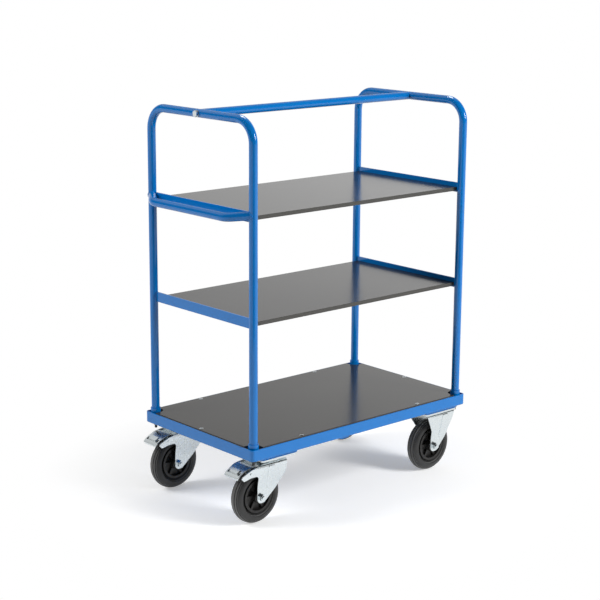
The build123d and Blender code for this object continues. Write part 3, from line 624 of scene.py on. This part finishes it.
def handle_welds():
    """Saddle bead round each end of the push handle, where the bent tube runs into an upright."""
    gable_low, gable_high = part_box("handle_gable")
    axis_x = (gable_low.x + gable_high.x) / 2
    paths = []
    for side in (-1, 1):
        foot = Vector((axis_x, side * (gable_high.y - TUBE_R), HANDLE_END_HEIGHT))
        out = Vector((HANDLE_RUN[0], side * HANDLE_RUN[1], HANDLE_RUN[2])).normalized()
        across = out.cross(Vector((0, 0, 1))).normalized()
        up = across.cross(out)
        saddle = []
        for step in range(SADDLE_STEPS + 1):
            turn = math.tau * step / SADDLE_STEPS
            ring = (across * math.cos(turn) + up * math.sin(turn)) * TUBE_R
            saddle.append(foot + ring + out * out_to_upright(ring, out))
        paths.append(saddle)
    return paths


def out_to_upright(ring, out):
    """How far along the handle a point of its ring meets the upright's wall."""
    square, cross = out.xy.length_squared, ring.xy.dot(out.xy)
    rest = ring.xy.length_squared - TUBE_R ** 2
    return (-cross + math.sqrt(max(cross ** 2 - square * rest, 0.0))) / square


def bar_welds():
    """Bead round each end of the flat bars under the frame, as far as the rail's flange reaches."""
    paths = []
    for bar in UNDERSIDE_BARS:
        low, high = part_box(bar)
        for end in (low.y, high.y):
            inner = end - math.copysign(FLANGE_REACH, end)
            corners = ((low.x, inner), (low.x, end), (high.x, end), (high.x, inner))
            paths.append([Vector((x, y, high.z)) for x, y in corners])
    return paths


def path_mesh(paths):
    """Edges along each path of points. A path that ends where it starts is closed."""
    points, edges = [], []
    for path in paths:
        first, closed = len(points), (path[0] - path[-1]).length < TOUCHING
        kept = path[:-1] if closed else path
        points += kept
        edges += [(first + i, first + i + 1) for i in range(len(kept) - 1)]
        if closed:
            edges.append((len(points) - 1, first))
    mesh = bpy.data.meshes.new("path")
    mesh.from_pydata(points, edges, [])
    return mesh


def make_welds(tree):
    welds = {"support_welds": support_welds(), "handle_welds": handle_welds(), "bar_welds": bar_welds()}
    for name, paths in welds.items():
        mesh = grown(f"{name}_grown", path_mesh(paths), tree, bead_radius=BEAD_R)
        piece(name, mesh, "trolley", "blue_powder_coat")


# Camera and lamps


PHOTO_SIDE = 600  # pixels
FOCAL_PIXELS = 1543.2
SENSOR = 36.0  # millimetres
CAMERA_PLACE = (-3.1043, -3.4677, 1.6659)
CAMERA_YAW = math.radians(41.644)  # from +Y towards +X
CAMERA_PITCH = math.radians(13.162)  # down
CAMERA_ROLL = math.radians(0.381)
KEY_PLACE = (1.9, -4.2, 2.8)
BACK_PLACE = (0.95, 1.5, 4.1)
FILL_PLACE = (-3.3, 2.1, 3.2)
MIDDLE = (0, 0, 0.5)  # of the trolley
GABLE_TOPS = (0, 0, 1.0)


def make_camera():
    lens = bpy.data.cameras.new("camera")
    lens.sensor_width = SENSOR
    lens.lens = FOCAL_PIXELS * SENSOR / PHOTO_SIDE
    camera = bpy.data.objects.new("camera", lens)
    bpy.context.scene.collection.objects.link(camera)
    heading = Matrix.Rotation(-CAMERA_YAW, 4, "Z") @ Matrix.Rotation(math.pi / 2 - CAMERA_PITCH, 4, "X")
    camera.matrix_world = Matrix.Translation(CAMERA_PLACE) @ heading @ Matrix.Rotation(CAMERA_ROLL, 4, "Z")
    bpy.context.scene.camera = camera


def make_lamp(name, place, aim, width, height, watts):
    """Soft box that lights everything, and that gloss does not show."""
    data = bpy.data.lights.new(name, "AREA")
    data.shape = "RECTANGLE"
    data.size = width
    data.size_y = height
    data.energy = watts
    lamp = bpy.data.objects.new(name, data)
    bpy.context.scene.collection.objects.link(lamp)
    lamp.location = place
    lamp.rotation_euler = (Vector(aim) - Vector(place)).to_track_quat("-Z", "Y").to_euler()
    lamp.visible_glossy = False
    return lamp


def turn_to_streak(lamp):
    """Let a lamp show in the gloss of the gables, and light nothing else."""
    lamp.visible_glossy = True
    lamp.visible_diffuse = False
    shown_on = bpy.data.collections.new(f"{lamp.name}_lights")
    for gable in GABLES:
        shown_on.objects.link(cad[gable])
    lamp.light_linking.receiver_collection = shown_on


def make_lamps():
    make_lamp("key", KEY_PLACE, MIDDLE, width=1.4, height=3.6, watts=275)
    turn_to_streak(make_lamp("front_streak", KEY_PLACE, GABLE_TOPS, width=1.4, height=1.6, watts=128))
    turn_to_streak(make_lamp("back_light", BACK_PLACE, GABLE_TOPS, width=1.1, height=1.1, watts=75))
    make_lamp("left_fill", FILL_PLACE, MIDDLE, width=2.2, height=2.2, watts=120)


# Studio and floor


BACK_WALL = math.radians(48.2)  # heading of the white wall, from +X
HIGH_PANEL = math.radians(88)  # heading of the white panel high on the left
DARK_SPOT = math.radians(242)  # heading of the dark place beside the camera
FLOOR_R = 2.5
FLOOR_PAINT = (0.9, 0.9, 0.9, 1)
FLOOR_LIFT = 0.28  # light that the floor gives off, so that the shadow stays pale
SHADOW_END = (0.45, 0.85)  # the floor goes over to plain white between these distances


def levelled(tree, way):
    """Level direction, one long, below a direction."""
    level = add(tree, "ShaderNodeVectorMath", {"operation": "MULTIPLY"}, Vector=way)
    feed(tree, level.inputs[1], (1, 1, 0))
    unit = add(tree, "ShaderNodeVectorMath", {"operation": "NORMALIZE"}, Vector=level.outputs["Vector"])
    return unit.outputs["Vector"]


def level_share(tree, flat, heading):
    """How far a level direction goes along a heading, from -1 to 1."""
    node = add(tree, "ShaderNodeVectorMath", {"operation": "DOT_PRODUCT"}, Vector=flat)
    feed(tree, node.inputs[1], (math.cos(heading), math.sin(heading), 0))
    return node.outputs["Value"]


def make_world():
    """Studio that the camera sees as plain white.

    Gloss shows a white wall, a high white panel and a dark place beside the camera, and matt surfaces get
    the soft light of a room that is brighter towards the wall.
    """
    world = bpy.data.worlds.new("studio")
    bpy.context.scene.world = world
    world.use_nodes = True
    tree = world.node_tree
    ray = add(tree, "ShaderNodeLightPath").outputs
    way = add(tree, "ShaderNodeTexCoord").outputs["Generated"]
    rise = axis_of(tree, way, "Z")
    flat = levelled(tree, way)
    to_wall = level_share(tree, flat, BACK_WALL)
    to_panel = level_share(tree, flat, HIGH_PANEL)
    to_dark = level_share(tree, flat, DARK_SPOT)
    to_right = level_share(tree, flat, BACK_WALL - math.pi / 2)

    wall_width = spread(tree, to_wall, low=0.05, high=1.0, start=0.45, end=0.8)
    wall_height = spread(tree, rise, low=0.91, high=0.4, start=0.13, end=0.47)
    panel_width = spread(tree, to_panel, low=0.05, high=1.0, start=0.55, end=0.85)
    panel_height = spread(tree, rise, low=0.0, high=1.0, start=0.42, end=0.58)
    wall = reckoned(tree, "MULTIPLY", wall_width, wall_height)
    panel = reckoned(tree, "MULTIPLY", panel_width, panel_height)
    brighter_right = spread(tree, to_right, low=0.8, high=1.3, start=-0.14, end=0.14)
    above = reckoned(tree, "MULTIPLY", reckoned(tree, "MAXIMUM", wall, panel), brighter_right)
    below = spread(tree, to_dark, low=1.0, high=0.1, start=0.82, end=0.94)
    over_horizon = spread(tree, rise, low=0.0, high=1.0, start=-0.05, end=0.03)
    gloss = mixed(tree, over_horizon, below, above)

    dimmer_up = spread(tree, rise, low=0.6, high=0.3, start=0.25, end=0.85)
    brighter_back = spread(tree, to_wall, low=0.25, high=1.0, start=-0.9, end=-0.1)
    room = reckoned(tree, "MULTIPLY", dimmer_up, brighter_back)

    lit = mixed(tree, ray["Is Glossy Ray"], room, gloss)
    sky = tree.nodes["Background"].inputs
    feed(tree, sky["Color"], WHITE)
    feed(tree, sky["Strength"], reckoned(tree, "MAXIMUM", ray["Is Camera Ray"], lit))


def floor_paint():
    """Pale matt paint that gives off a little light, and plain white further out."""
    same_all_over = {"Base_Color": FLOOR_PAINT, "Roughness": 0.9, "Specular_IOR_Level": 0.0}
    material, tree, shader = new_finish("floor", **same_all_over)
    ray = add(tree, "ShaderNodeLightPath").outputs
    seen = reckoned(tree, "MAXIMUM", ray["Is Camera Ray"], ray["Is Glossy Ray"])
    given_off = reckoned(tree, "MULTIPLY", seen, FLOOR_LIFT)
    lift = add(tree, "ShaderNodeEmission", Color=WHITE, Strength=given_off)
    lifted = add(tree, "ShaderNodeAddShader")
    feed(tree, lifted.inputs[0], shader.outputs["BSDF"])
    feed(tree, lifted.inputs[1], lift.outputs["Emission"])
    place = add(tree, "ShaderNodeTexCoord").outputs["Object"]
    away = add(tree, "ShaderNodeVectorMath", {"operation": "LENGTH"}, Vector=place).outputs["Value"]
    further_out = spread(tree, away, 0.0, 1.0, *SHADOW_END)
    glow = add(tree, "ShaderNodeEmission", Color=WHITE, Strength=1.0)
    surface = add(tree, "ShaderNodeMixShader", Fac=reckoned(tree, "MULTIPLY", seen, further_out))
    feed(tree, surface.inputs[1], lifted.outputs["Shader"])
    feed(tree, surface.inputs[2], glow.outputs["Emission"])
    feed(tree, tree.nodes["Material Output"].inputs["Surface"], surface.outputs["Shader"])
    return material


def make_floor():
    """Round floor that keeps the shadow near the trolley."""
    shape = bmesh.new()
    bmesh.ops.create_circle(shape, cap_ends=True, segments=96, radius=FLOOR_R)
    mesh = bpy.data.meshes.new("floor")
    shape.to_mesh(mesh)
    shape.free()
    floor = bpy.data.objects.new("floor", mesh)
    bpy.context.scene.collection.objects.link(floor)
    mesh.materials.append(floor_paint())


dress_cad()
make_tyres()
make_rims()
make_pedals()
make_deck_screws(screw_tree())
make_welds(bead_tree())
make_boards()
make_pressings()
make_camera()
make_world()
make_lamps()
make_floor()
bpy.context.scene.view_settings.view_transform = "Standard"
